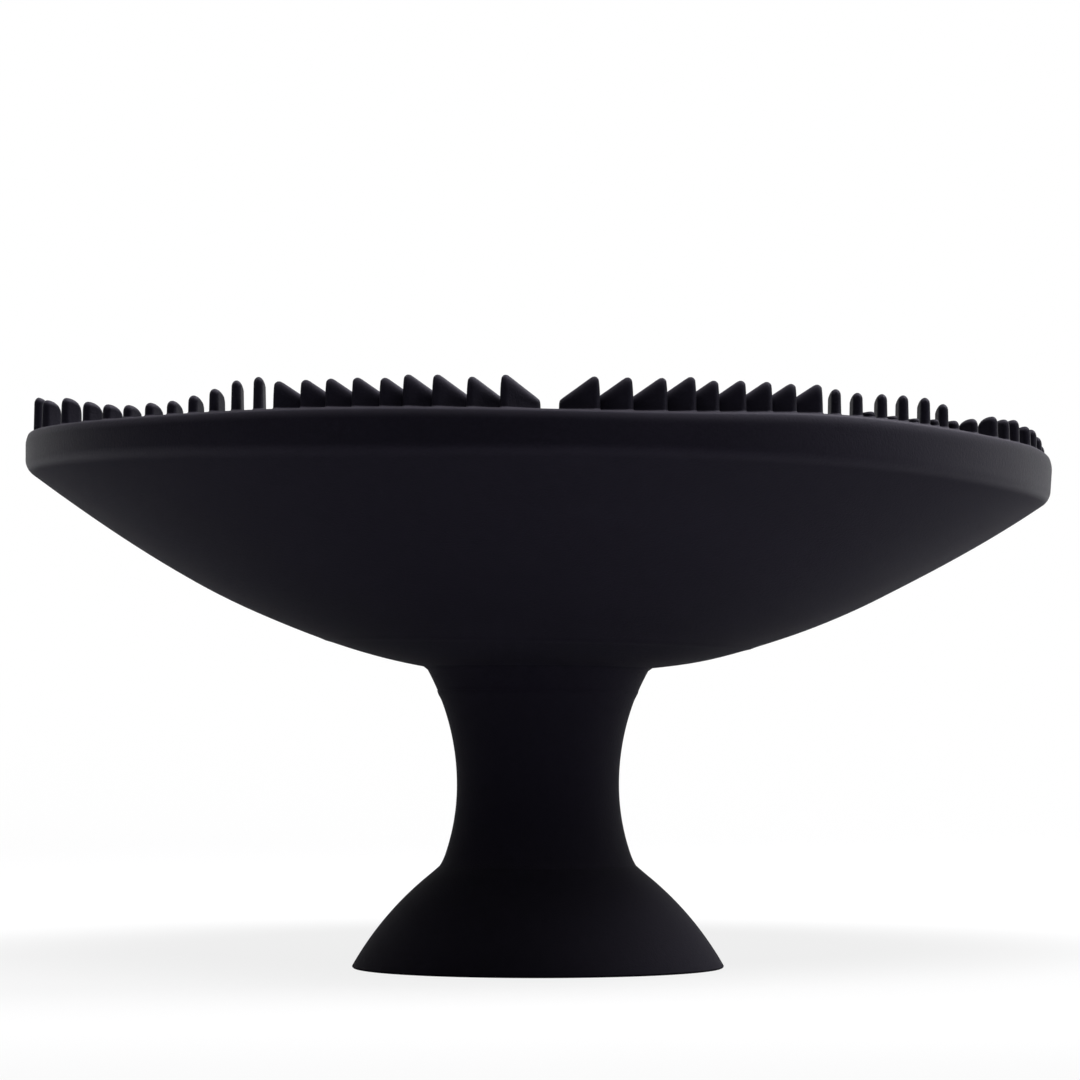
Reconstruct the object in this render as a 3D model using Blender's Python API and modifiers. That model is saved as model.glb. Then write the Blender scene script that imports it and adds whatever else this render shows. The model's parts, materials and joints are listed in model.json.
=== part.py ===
"""Silicone hair color bowl: a wide dish with a finned rim, on a waisted stem with a suction foot.

Metres, +Z up. The origin is the middle of the foot's underside, and the gap between the two
fin strips faces -Y. The bowl sinks along Z onto its foot when it is pressed to a bench.
"""

import math

import bmesh
import bpy
from mathutils import Matrix, Vector

# Gap left between two pieces that touch.
FIT = 0.0003

# Foot: a bell with a hollow underside, and a mushroom stud that snaps into the stem's core.
FOOT_RADIUS = 0.0271
FOOT_HEIGHT = 0.0148
FOOT_BULGE = 0.046
FOOT_EDGE = 0.0004
CUP_LIP = 0.0028
CUP_DEPTH = 0.0065
STUD_NECK_RADIUS = 0.0035
STUD_HEAD_RADIUS = 0.0050
STUD_HEAD_HEIGHT = 0.0040
STUD_CHAMFER = 0.0012

# Stem: a waisted sleeve over a stiff core.
STEM_LENGTH = 0.0256
WAIST_RISE = 0.0118
WAIST_RADIUS = 0.01185
UPPER_FLARE = 0.035
LOWER_FLARE = 0.031
CORE_RADIUS = 0.0080
CORE_LIP = 0.0037

# Dish: two arcs under it, a band round its rim and a short collar that carries on the stem's flare.
RIM_RADIUS = 0.0746
COLLAR_DROP = 0.0021
DISH_CROWN = 0.105
DISH_FLANK = 0.230
FLANK_START = 0.050
DISH_WALL = 0.0028
BAND_FILLET = 0.0030
BAND_HEIGHT = 0.0045
LIP_ROUND = 0.0009
LIP_WALL = 0.0010
INNER_LIP_WALL = 0.0014
INNER_LIP_EDGE = 0.0004

# Insert in the dish, and the screw that pulls the core up to it.
CAPTURE_LIP = 0.0009
INSERT_FLANGE_RADIUS = 0.0110
INSERT_FLANGE_HEIGHT = 0.0020
SPIGOT_RADIUS = 0.0050
SPIGOT_LENGTH = 0.0070
INSERT_ROOF = 0.0012
SCREW_RADIUS = 0.0020
SCREW_HEAD_RADIUS = 0.0035
SCREW_HEAD_HEIGHT = 0.0028
SCREW_TIP_GAP = 0.0007
SCREW_STUD_GAP = 0.0015
WASHER_RADIUS = 0.0045
WASHER_HEIGHT = 0.0008

# Rim hoop and the strips of fins in the rim's groove.
HOOP_WIRE = 0.0010
ROOT_WIDTH = 0.0039
ROOT_DEPTH = 0.0025
STRIP_GAP = 0.0016
FIN_SETBACK = 0.0001
FIN_THICKNESS = 0.0014
FIN_TIP = 0.00065
FIN_SLOPE = math.radians(33.5)
FIN_SINK = 0.0010

# Louvres on both strips, by azimuth from the front gap: a row of big ones, then a row of middle ones.
LOUVRE_YAW = 60.0
BIG_FINS = 4
BIG_START = 5.0
BIG_PITCH = 3.45
BIG_LENGTH = 0.0056
BIG_HEIGHT = 0.0040
MID_FINS = 5
MID_START = 17.7
MID_PITCH = 3.02
MID_LENGTH = 0.0046
MID_HEIGHT = 0.0036

# Then a comb of pins at an even pitch along X, from an azimuth to a small gap before the strip's side.
# Their heights dip and rise along each strip.
PIN_START = 31.36525
PIN_SIDE_GAP = 0.00023
PIN_LENGTH = 0.0032
PIN_THICKNESS = 0.00165
LEFT_PINS = (0.0040, 0.0038, 0.0030, 0.0022, 0.0016, 0.0014, 0.0013, 0.0017, 0.0027, 0.0036, 0.0039, 0.0042)
RIGHT_PINS = (0.0032, 0.0030, 0.0033, 0.0034, 0.0034, 0.0030)

# The right strip has low stubs between its pins, and side fins by azimuth and height.
FIRST_STUB = 1
STUB_LENGTH = 0.0020
STUB_HEIGHT = 0.0008
STUB_THICKNESS = 0.0010
SIDE_FINS = (
    (53.0, 0.0016),
    (57.5, 0.0025),
    (60.6, 0.0025),
    (63.8, 0.0028),
    (67.6, 0.0023),
    (71.0, 0.0020),
    (74.6, 0.0016),
    (80.2, 0.0013),
    (87.0, 0.0012),
)

# Pins and side fins turn from parallel to Y towards radial, by a share of the azimuth past this one.
TURN_AZIMUTH = 33.0
TURN_SHARE = 0.9

# Sides of the turned pieces.
ROUND_LARGE = 64
ROUND_MIDDLE = 44
ROUND_SMALL = 28
WIRE_SIDES = 8

# Levels along Z, from the foot up.
SEAM_Z = FOOT_HEIGHT + STEM_LENGTH
WAIST_Z = FOOT_HEIGHT + WAIST_RISE
DISH_BOTTOM = SEAM_Z + COLLAR_DROP
CAPTURE_Z = SEAM_Z + CAPTURE_LIP
FLANGE_Z = CAPTURE_Z + FIT
POCKET_TOP = FLANGE_Z + INSERT_FLANGE_HEIGHT + FIT
SPIGOT_Z = FLANGE_Z - SPIGOT_LENGTH
STUD_NECK_TOP = FOOT_HEIGHT + FIT + CORE_LIP + FIT
STUD_TOP = STUD_NECK_TOP + STUD_HEAD_HEIGHT
SCREW_HEAD_Z = STUD_TOP + SCREW_STUD_GAP
WASHER_Z = SCREW_HEAD_Z + SCREW_HEAD_HEIGHT + FIT
CHAMBER_TOP = WASHER_Z + WASHER_HEIGHT + FIT

# The underside's two arcs and the fillet into the band.
FLANK_ANGLE = math.asin(FLANK_START / DISH_CROWN)
FLANK_CENTRE_R = (DISH_CROWN - DISH_FLANK) * math.sin(FLANK_ANGLE)
FLANK_CENTRE_Z = DISH_BOTTOM + DISH_CROWN - (DISH_CROWN - DISH_FLANK) * math.cos(FLANK_ANGLE)
FILLET_R = RIM_RADIUS - BAND_FILLET
FILLET_ANGLE = math.asin((FILLET_R - FLANK_CENTRE_R) / (DISH_FLANK - BAND_FILLET))
FILLET_Z = FLANK_CENTRE_Z - (DISH_FLANK - BAND_FILLET) * math.cos(FILLET_ANGLE)
LIP_Z = FILLET_Z + BAND_HEIGHT

# The groove in the lip, its channel for the hoop and the root of the strips.
GROOVE_OUTER = RIM_RADIUS - LIP_WALL
ROOT_OUTER = GROOVE_OUTER - FIT
ROOT_INNER = ROOT_OUTER - ROOT_WIDTH
GROOVE_INNER = ROOT_INNER - FIT
LIP_INNER = GROOVE_INNER - INNER_LIP_WALL
ROOT_BOTTOM = LIP_Z - ROOT_DEPTH
GROOVE_STEP = ROOT_BOTTOM - FIT
HOOP_RADIUS = (ROOT_INNER + ROOT_OUTER) / 2
HOOP_Z = GROOVE_STEP - HOOP_WIRE
CHANNEL_FLOOR = HOOP_Z - HOOP_WIRE - FIT


def clear_scene():
    for item in list(bpy.data.objects):
        bpy.data.objects.remove(item, do_unlink=True)


def new_collection(name):
    collection = bpy.data.collections.new(name)
    bpy.context.scene.collection.children.link(collection)
    return collection


def finish_of(name, colour, roughness, metallic=0.0):
    material = bpy.data.materials.new(name)
    material.use_nodes = True
    shader = material.node_tree.nodes["Principled BSDF"]
    shader.inputs["Base Color"].default_value = (*colour, 1.0)
    shader.inputs["Roughness"].default_value = roughness
    shader.inputs["Metallic"].default_value = metallic
    return material


def arc(centre, radius, start, end, steps):
    """Points on an arc, by angle from straight down towards +X, ends included."""
    points = []
    for step in range(steps + 1):
        angle = start + (end - start) * step / steps
        points.append((centre[0] + radius * math.sin(angle), centre[1] - radius * math.cos(angle)))
    return points


def flare_radius(z):
    """The stem's outer radius at height z."""
    bend = UPPER_FLARE if z > WAIST_Z else LOWER_FLARE
    return WAIST_RADIUS + bend - math.sqrt(bend**2 - (z - WAIST_Z) ** 2)


def crown_height(radius):
    """Height of the dish's underside at a radius inside its middle arc."""
    return DISH_BOTTOM + DISH_CROWN - math.sqrt(DISH_CROWN**2 - radius**2)


def collar_radius():
    """Where the stem's flare meets the dish's underside."""
    radius = flare_radius(DISH_BOTTOM)
    for _ in range(20):
        radius = flare_radius(crown_height(radius))
    return radius


def turned(name, profile, sides, material, collection, closed=False):
    """A profile in the XZ plane, turned once round Z. It runs down its outer side."""
    mesh = bpy.data.meshes.new(name)
    edges = [(i, i + 1) for i in range(len(profile) - 1)]
    if closed:
        edges.append((len(profile) - 1, 0))
    mesh.from_pydata([(r, 0.0, z) for r, z in profile], edges, [])
    piece = bpy.data.objects.new(name, mesh)
    collection.objects.link(piece)
    screw = piece.modifiers.new("turn", "SCREW")
    screw.steps = sides
    screw.render_steps = sides
    screw.use_merge_vertices = True
    screw.merge_threshold = 0.00001
    piece.data.materials.append(material)
    return piece


def bowl_dish(collection, silicone):
    crown_centre = (0.0, DISH_BOTTOM + DISH_CROWN)
    flank_centre = (FLANK_CENTRE_R, FLANK_CENTRE_Z)
    inner_flank = DISH_FLANK - DISH_WALL
    inner_angle = math.asin((LIP_INNER - FLANK_CENTRE_R) / inner_flank)
    collar = collar_radius()
    collar_angle = math.asin(collar / DISH_CROWN)
    collar_z = crown_height(collar)
    channel = HOOP_WIRE + FIT

    profile = arc(crown_centre, DISH_CROWN - DISH_WALL, 0.0, FLANK_ANGLE, 5)
    profile += arc(flank_centre, inner_flank, FLANK_ANGLE, inner_angle, 3)[1:]
    profile += [(LIP_INNER, LIP_Z - INNER_LIP_EDGE), (LIP_INNER + INNER_LIP_EDGE, LIP_Z)]
    profile += [(GROOVE_INNER, LIP_Z), (GROOVE_INNER, GROOVE_STEP)]
    profile += [(HOOP_RADIUS - channel, GROOVE_STEP), (HOOP_RADIUS - channel, CHANNEL_FLOOR)]
    profile += [(HOOP_RADIUS + channel, CHANNEL_FLOOR), (HOOP_RADIUS + channel, GROOVE_STEP)]
    profile += [(GROOVE_OUTER, GROOVE_STEP), (GROOVE_OUTER, LIP_Z)]
    lip_centre = (RIM_RADIUS - LIP_ROUND, LIP_Z - LIP_ROUND)
    profile += arc(lip_centre, LIP_ROUND, math.pi, math.pi / 2, 3)
    profile += arc((FILLET_R, FILLET_Z), BAND_FILLET, math.pi / 2, FILLET_ANGLE, 3)
    profile += arc(flank_centre, DISH_FLANK, FILLET_ANGLE, FLANK_ANGLE, 4)[1:]
    profile += arc(crown_centre, DISH_CROWN, FLANK_ANGLE, collar_angle, 4)[1:]
    for z in (collar_z + (SEAM_Z - collar_z) / 2, SEAM_Z):
        profile.append((flare_radius(z), z))
    bore = CORE_RADIUS + FIT
    pocket = INSERT_FLANGE_RADIUS + FIT
    profile += [(bore, SEAM_Z), (bore, CAPTURE_Z), (pocket, CAPTURE_Z)]
    profile += [(pocket, POCKET_TOP), (0.0, POCKET_TOP)]
    return turned("bowl_dish", profile, ROUND_LARGE, silicone, collection)


def rim_hoop(collection, steel):
    wire = arc((HOOP_RADIUS, HOOP_Z), HOOP_WIRE, math.pi, -math.pi, WIRE_SIDES)[:-1]
    return turned("rim_hoop", wire, ROUND_LARGE, steel, collection, closed=True)


def dish_insert(collection, brass):
    hole = SCREW_RADIUS + FIT
    hole_top = FLANGE_Z + INSERT_FLANGE_HEIGHT - INSERT_ROOF
    flange_top = FLANGE_Z + INSERT_FLANGE_HEIGHT
    profile = [(0.0, flange_top), (INSERT_FLANGE_RADIUS, flange_top), (INSERT_FLANGE_RADIUS, FLANGE_Z)]
    profile += [(SPIGOT_RADIUS, FLANGE_Z), (SPIGOT_RADIUS, SPIGOT_Z), (hole, SPIGOT_Z)]
    profile += [(hole, hole_top), (0.0, hole_top)]
    return turned("dish_insert", profile, ROUND_SMALL, brass, collection)


def stem_core(collection, nylon):
    bottom = FOOT_HEIGHT + FIT
    lip_top = bottom + CORE_LIP
    counterbore = SPIGOT_RADIUS + FIT
    chamber = STUD_HEAD_RADIUS + FIT
    neck = STUD_NECK_RADIUS + FIT
    hole = SCREW_RADIUS + FIT
    septum_top = SPIGOT_Z - FIT
    profile = [(counterbore, CAPTURE_Z), (CORE_RADIUS, CAPTURE_Z), (CORE_RADIUS, bottom)]
    profile += [(neck, bottom), (neck, lip_top), (chamber, lip_top), (chamber, CHAMBER_TOP)]
    profile += [(hole, CHAMBER_TOP), (hole, septum_top), (counterbore, septum_top)]
    return turned("stem_core", profile, ROUND_SMALL, nylon, collection, closed=True)


def stem_sleeve(collection, silicone):
    top = SEAM_Z - FIT
    bottom = FOOT_HEIGHT + FIT
    bore = CORE_RADIUS + FIT
    steps = 10
    heights = [top + (bottom - top) * step / steps for step in range(steps + 1)]
    profile = [(flare_radius(z), z) for z in heights]
    profile += [(bore, bottom), (bore, top)]
    return turned("stem_sleeve", profile, ROUND_MIDDLE, silicone, collection, closed=True)


def clamp_screw(collection, steel):
    shoulder = SCREW_HEAD_Z + SCREW_HEAD_HEIGHT
    tip = FLANGE_Z + INSERT_FLANGE_HEIGHT - INSERT_ROOF - SCREW_TIP_GAP
    profile = [(0.0, tip), (SCREW_RADIUS, tip), (SCREW_RADIUS, shoulder), (SCREW_HEAD_RADIUS, shoulder)]
    profile += [(SCREW_HEAD_RADIUS, SCREW_HEAD_Z), (0.0, SCREW_HEAD_Z)]
    return turned("clamp_screw", profile, ROUND_SMALL, steel, collection)


def screw_washer(collection, steel):
    top = WASHER_Z + WASHER_HEIGHT
    hole = SCREW_RADIUS + FIT
    profile = [(hole, top), (WASHER_RADIUS, top), (WASHER_RADIUS, WASHER_Z), (hole, WASHER_Z)]
    return turned("screw_washer", profile, ROUND_SMALL, steel, collection, closed=True)


def suction_foot(collection, silicone):
    cup_radius = FOOT_RADIUS - FOOT_EDGE - CUP_LIP
    cup_curve = (cup_radius**2 + CUP_DEPTH**2) / (2 * CUP_DEPTH)
    cup_angle = math.asin(cup_radius / cup_curve)
    profile = [(0.0, STUD_TOP), (STUD_HEAD_RADIUS - STUD_CHAMFER, STUD_TOP)]
    profile += [(STUD_HEAD_RADIUS, STUD_TOP - STUD_CHAMFER), (STUD_HEAD_RADIUS, STUD_NECK_TOP)]
    profile += [(STUD_NECK_RADIUS, STUD_NECK_TOP), (STUD_NECK_RADIUS, FOOT_HEIGHT)]
    profile += bell_side(6)
    profile += [(FOOT_RADIUS - FOOT_EDGE, 0.0)]
    # The cup is a cap of a sphere whose middle lies below the foot.
    cup_centre = (0.0, CUP_DEPTH - cup_curve)
    profile += arc(cup_centre, cup_curve, math.pi - cup_angle, math.pi, 5)
    return turned("suction_foot", profile, ROUND_MIDDLE, silicone, collection)


def bell_side(steps):
    """The foot's convex side, from the crease under the stem down to its edge."""
    start = Vector((flare_radius(FOOT_HEIGHT), FOOT_HEIGHT))
    end = Vector((FOOT_RADIUS, FOOT_EDGE))
    chord = end - start
    inward = Vector((chord.y, -chord.x)).normalized()
    reach = math.sqrt(FOOT_BULGE**2 - (chord.length / 2) ** 2)
    centre = (start + end) / 2 + inward * reach
    angles = [math.atan2(point.x - centre.x, centre.y - point.y) for point in (start, end)]
    return arc(centre, FOOT_BULGE, angles[0], angles[1], steps)


def pin_azimuth(place):
    """Azimuth of a pin by its place along X in the comb, which the left strip's pins fill."""
    reach = ROOT_OUTER - FIN_SETBACK
    first = reach * math.sin(math.radians(PIN_START))
    pitch = (reach - PIN_SIDE_GAP - first) / (len(LEFT_PINS) - 1)
    return math.degrees(math.asin((first + place * pitch) / reach))


def turned_in(azimuth):
    """Yaw of a fin that has turned from parallel to Y towards radial."""
    return TURN_SHARE * max(azimuth - TURN_AZIMUTH, 0.0) - azimuth


def fin_rows(side):
    """Azimuth, yaw from straight inward towards the gap, length, height and thickness of a quarter's fins."""
    rows = []
    for i in range(BIG_FINS):
        rows.append((BIG_START + i * BIG_PITCH, LOUVRE_YAW, BIG_LENGTH, BIG_HEIGHT, FIN_THICKNESS))
    for i in range(MID_FINS):
        rows.append((MID_START + i * MID_PITCH, LOUVRE_YAW, MID_LENGTH, MID_HEIGHT, FIN_THICKNESS))
    if side < 0:
        for i, height in enumerate(LEFT_PINS):
            azimuth = pin_azimuth(i)
            rows.append((azimuth, turned_in(azimuth), PIN_LENGTH, height, PIN_THICKNESS))
        return rows
    for i, height in enumerate(RIGHT_PINS):
        azimuth = pin_azimuth(i)
        rows.append((azimuth, -azimuth, PIN_LENGTH, height, PIN_THICKNESS))
    for i in range(FIRST_STUB, len(RIGHT_PINS)):
        azimuth = pin_azimuth(i + 0.5)
        rows.append((azimuth, -azimuth, STUB_LENGTH, STUB_HEIGHT, STUB_THICKNESS))
    for azimuth, height in SIDE_FINS:
        rows.append((azimuth, turned_in(azimuth), PIN_LENGTH, height, FIN_THICKNESS))
    return rows


def fin_outline(length, height):
    """Side view of a fin: upright outer edge, round tip and a slope that falls inward."""
    radius = min(FIN_TIP, height / 2)
    tip = arc((radius, height - radius), radius, -math.pi / 2, -math.pi - FIN_SLOPE, 4)
    slope_start = tip[-1]
    low = slope_start[1] - (length - slope_start[0]) * math.tan(FIN_SLOPE)
    low = max(low, -FIN_SINK / 2)
    return [(0.0, -FIN_SINK)] + tip + [(length, low), (length, -FIN_SINK)]


def add_fin(shape, row, side, half):
    """One plate on a strip's root, for one side and one half of the rim."""
    azimuth, yaw, length, height, thickness = row
    turn = math.radians(azimuth)
    inward = Vector((-side * math.sin(turn), half * math.cos(turn), 0.0))
    to_gap = Vector((-side * math.cos(turn), -half * math.sin(turn), 0.0))
    along = inward * math.cos(math.radians(yaw)) + to_gap * math.sin(math.radians(yaw))
    across = along.cross(Vector((0.0, 0.0, 1.0))) * thickness
    # A turned fin stands further in, so that its outer corner stays on the root.
    radius = ROOT_OUTER - FIN_SETBACK - thickness / 2 * abs(math.sin(math.radians(yaw)))
    foot = -inward * radius - across / 2 + Vector((0.0, 0.0, LIP_Z))
    points = [foot + along * u + Vector((0.0, 0.0, z)) for u, z in fin_outline(length, height)]
    face = shape.faces.new([shape.verts.new(point) for point in points])
    grown = bmesh.ops.extrude_face_region(shape, geom=[face], use_keep_orig=True)
    new_verts = [item for item in grown["geom"] if isinstance(item, bmesh.types.BMVert)]
    bmesh.ops.translate(shape, verts=new_verts, vec=across)


def cutter(name, shape, collection):
    mesh = bpy.data.meshes.new(name)
    bmesh.ops.recalc_face_normals(shape, faces=shape.faces)
    shape.to_mesh(mesh)
    shape.free()
    tool = bpy.data.objects.new(name, mesh)
    tool.hide_render = True
    tool.display_type = "WIRE"
    collection.objects.link(tool)
    return tool


def comb_strip(name, side, collection, tools, silicone):
    """Half of the rim's root ring with its fins, on the -X side or the +X side."""
    root = [(ROOT_INNER, LIP_Z), (ROOT_OUTER, LIP_Z), (ROOT_OUTER, ROOT_BOTTOM), (ROOT_INNER, ROOT_BOTTOM)]
    strip = turned(name, root, ROUND_LARGE, silicone, collection, closed=True)

    fins = bmesh.new()
    for half in (1, -1):
        for row in fin_rows(side):
            add_fin(fins, row, side, half)
    union = strip.modifiers.new("fins", "BOOLEAN")
    union.operation = "UNION"
    union.use_self = True
    union.object = cutter(name + "_fins", fins, tools)

    half_space = bmesh.new()
    middle = Vector((side * (STRIP_GAP / 2 + RIM_RADIUS), 0.0, LIP_Z))
    size = Vector((2 * RIM_RADIUS, 4 * RIM_RADIUS, 4 * (ROOT_DEPTH + BIG_HEIGHT + MID_HEIGHT)))
    bmesh.ops.create_cube(half_space, size=1.0, matrix=Matrix.LocRotScale(middle, None, size))
    keep = strip.modifiers.new("half", "BOOLEAN")
    keep.operation = "INTERSECT"
    keep.object = cutter(name + "_half", half_space, tools)
    return strip


def main():
    clear_scene()
    parts = new_collection("hair_color_bowl")
    tools = new_collection("cutters")
    silicone = finish_of("black_silicone", (0.012, 0.011, 0.014), 0.62)
    nylon = finish_of("grey_nylon", (0.16, 0.16, 0.17), 0.5)
    steel = finish_of("zinc_steel", (0.55, 0.56, 0.58), 0.35, 1.0)
    brass = finish_of("turned_brass", (0.60, 0.45, 0.18), 0.35, 1.0)

    suction_foot(parts, silicone)
    pressed = [
        bowl_dish(parts, silicone),
        rim_hoop(parts, steel),
        comb_strip("comb_strip_left", -1, parts, tools, silicone),
        comb_strip("comb_strip_right", 1, parts, tools, silicone),
        dish_insert(parts, brass),
        stem_core(parts, nylon),
        stem_sleeve(parts, silicone),
        clamp_screw(parts, steel),
        screw_washer(parts, steel),
    ]
    # All but the foot sink together along Z as the cup flattens.
    press_axis = bpy.data.objects.new("press_axis", None)
    parts.objects.link(press_axis)
    for piece in pressed:
        piece.parent = press_axis


main()
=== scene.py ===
"""Looks of a silicone hair color bowl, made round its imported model.

Laid out as an add-on and run as a script. Metres, +Z up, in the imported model's own frame: the
origin is under the middle of the foot, and the gap between the two fin strips faces -Y.
"""

import json
import math
from collections import namedtuple

import bmesh
import bpy
from mathutils import Matrix, Vector


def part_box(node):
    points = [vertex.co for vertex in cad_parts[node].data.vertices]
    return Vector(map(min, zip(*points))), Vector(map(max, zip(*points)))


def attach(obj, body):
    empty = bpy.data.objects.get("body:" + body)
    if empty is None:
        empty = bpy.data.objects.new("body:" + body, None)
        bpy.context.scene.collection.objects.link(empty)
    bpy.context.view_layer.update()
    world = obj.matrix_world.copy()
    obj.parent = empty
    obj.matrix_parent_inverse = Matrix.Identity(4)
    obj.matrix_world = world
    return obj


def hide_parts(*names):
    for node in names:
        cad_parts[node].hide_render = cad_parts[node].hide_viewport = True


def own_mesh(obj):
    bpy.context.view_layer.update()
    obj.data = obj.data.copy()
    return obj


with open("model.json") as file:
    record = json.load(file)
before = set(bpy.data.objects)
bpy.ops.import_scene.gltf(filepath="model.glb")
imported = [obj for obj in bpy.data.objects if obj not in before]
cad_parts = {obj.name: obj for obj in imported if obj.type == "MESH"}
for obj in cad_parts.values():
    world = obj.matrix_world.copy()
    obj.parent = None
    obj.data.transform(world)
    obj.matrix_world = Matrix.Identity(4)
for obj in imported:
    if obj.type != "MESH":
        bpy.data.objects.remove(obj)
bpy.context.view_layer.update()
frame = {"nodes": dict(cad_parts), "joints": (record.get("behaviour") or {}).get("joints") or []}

bl_info = {
    "name": "Hair Color Bowl",
    "version": (1, 0, 0),
    "blender": (4, 5, 0),
    "location": "View3D > Sidebar > Bowl",
    "description": "Builds a silicone hair color bowl with a finned rim and a suction foot",
    "category": "Object",
}

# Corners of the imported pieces, which fix where everything goes.
DISH_LOW, DISH_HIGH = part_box("bowl_dish")
FOOT_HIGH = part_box("suction_foot")[1]
SLEEVE_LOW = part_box("stem_sleeve")[0]
STRIP_LOW, STRIP_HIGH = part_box("comb_strip_right")
HOOP_LOW, HOOP_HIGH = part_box("rim_hoop")
CORE_LOW, CORE_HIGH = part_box("stem_core")
INSERT_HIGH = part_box("dish_insert")[1]
PRESS = next(joint for joint in frame["joints"] if joint["name"] == "suction_press")

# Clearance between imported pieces, and the places that follow from them.
FIT = 0.0003
RIM_RADIUS = DISH_HIGH.x
LIP_Z = DISH_HIGH.z
SEAM_Z = DISH_LOW.z
FOOT_TOP = SLEEVE_LOW.z - FIT
ROOT_OUTER = STRIP_HIGH.x
ROOT_BOTTOM = STRIP_LOW.z
HOOP_WIRE = (HOOP_HIGH.z - HOOP_LOW.z) / 2
HOOP_RADIUS = HOOP_HIGH.x - HOOP_WIRE
ROOT_INNER = 2 * HOOP_RADIUS - ROOT_OUTER
PRESS_TRAVEL = -PRESS["range_m"][0]

# Sides round the turned pieces, and steps along the root of a fin strip.
ROUND_DISH = 256
ROUND_STEM = 128
ROUND_STUD = 64
ROOT_STEPS = 150

# Bends sharper than these show as an edge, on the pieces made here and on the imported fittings.
PIECE_EDGE = math.radians(38.0)
FITTING_EDGE = math.radians(35.0)


class BowlSizes(bpy.types.PropertyGroup):
    """Sizes of the silicone pieces that their packed boxes don't give."""

    dish_crown: bpy.props.FloatProperty(
        name="Dish crown",
        description="Radius of the arc under the middle of the dish",
        default=0.105,
        unit="LENGTH",
    )
    dish_flank: bpy.props.FloatProperty(
        name="Dish flank",
        description="Radius of the flatter arc under the outer part of the dish",
        default=0.230,
        unit="LENGTH",
    )
    flank_start: bpy.props.FloatProperty(
        name="Flank start",
        description="Distance from the axis where the flatter arc begins",
        default=0.050,
        unit="LENGTH",
    )
    dish_rise: bpy.props.FloatProperty(
        name="Dish rise",
        description="Height of the dish's lowest point above the stem's seam",
        default=0.0021,
        unit="LENGTH",
    )
    dish_wall: bpy.props.FloatProperty(
        name="Dish wall",
        description="Thickness of the dish",
        default=0.0028,
        unit="LENGTH",
    )
    band_fillet: bpy.props.FloatProperty(
        name="Band fillet",
        description="Radius of the bend from the dish into the upright rim band",
        default=0.0024,
        unit="LENGTH",
    )
    lip_width: bpy.props.FloatProperty(
        name="Lip width",
        description="Width of the rim's rounded outer upper edge",
        default=0.0009,
        unit="LENGTH",
    )
    lip_round: bpy.props.FloatProperty(
        name="Lip round",
        description="Radius of the upper part of the rim's outer edge",
        default=0.00062,
        unit="LENGTH",
    )
    lip_lean: bpy.props.FloatProperty(
        name="Lip lean",
        description="Angle from upright where that radius meets the flatter curve under it",
        default=math.radians(22.0),
        subtype="ANGLE",
    )
    inner_lip: bpy.props.FloatProperty(
        name="Inner lip",
        description="Thickness of the wall inside the rim's groove",
        default=0.0014,
        unit="LENGTH",
    )
    waist_radius: bpy.props.FloatProperty(
        name="Waist radius",
        description="Radius of the stem at its narrowest",
        default=0.01185,
        unit="LENGTH",
    )
    waist_z: bpy.props.FloatProperty(
        name="Waist height",
        description="Height of the stem's narrowest point above the floor",
        default=0.0266,
        unit="LENGTH",
    )
    upper_flare: bpy.props.FloatProperty(
        name="Upper flare",
        description="Radius of the hollow curve from the waist up to the dish",
        default=0.035,
        unit="LENGTH",
    )
    lower_flare: bpy.props.FloatProperty(
        name="Lower flare",
        description="Radius of the hollow curve from the waist down to the foot",
        default=0.031,
        unit="LENGTH",
    )
    foot_bulge: bpy.props.FloatProperty(
        name="Foot bulge",
        description="Radius of the foot's convex side",
        default=0.046,
        unit="LENGTH",
    )
    cup_lip: bpy.props.FloatProperty(
        name="Cup lip",
        description="Width of the flat ring that the foot stands on",
        default=0.0028,
        unit="LENGTH",
    )
    cup_depth: bpy.props.FloatProperty(
        name="Cup depth",
        description="Depth of the hollow under the foot",
        default=0.0065,
        unit="LENGTH",
    )
    droop: bpy.props.FloatProperty(
        name="Droop",
        description="Slope by which the soft dish hangs lower towards +X",
        default=0.0234,
    )


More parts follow.
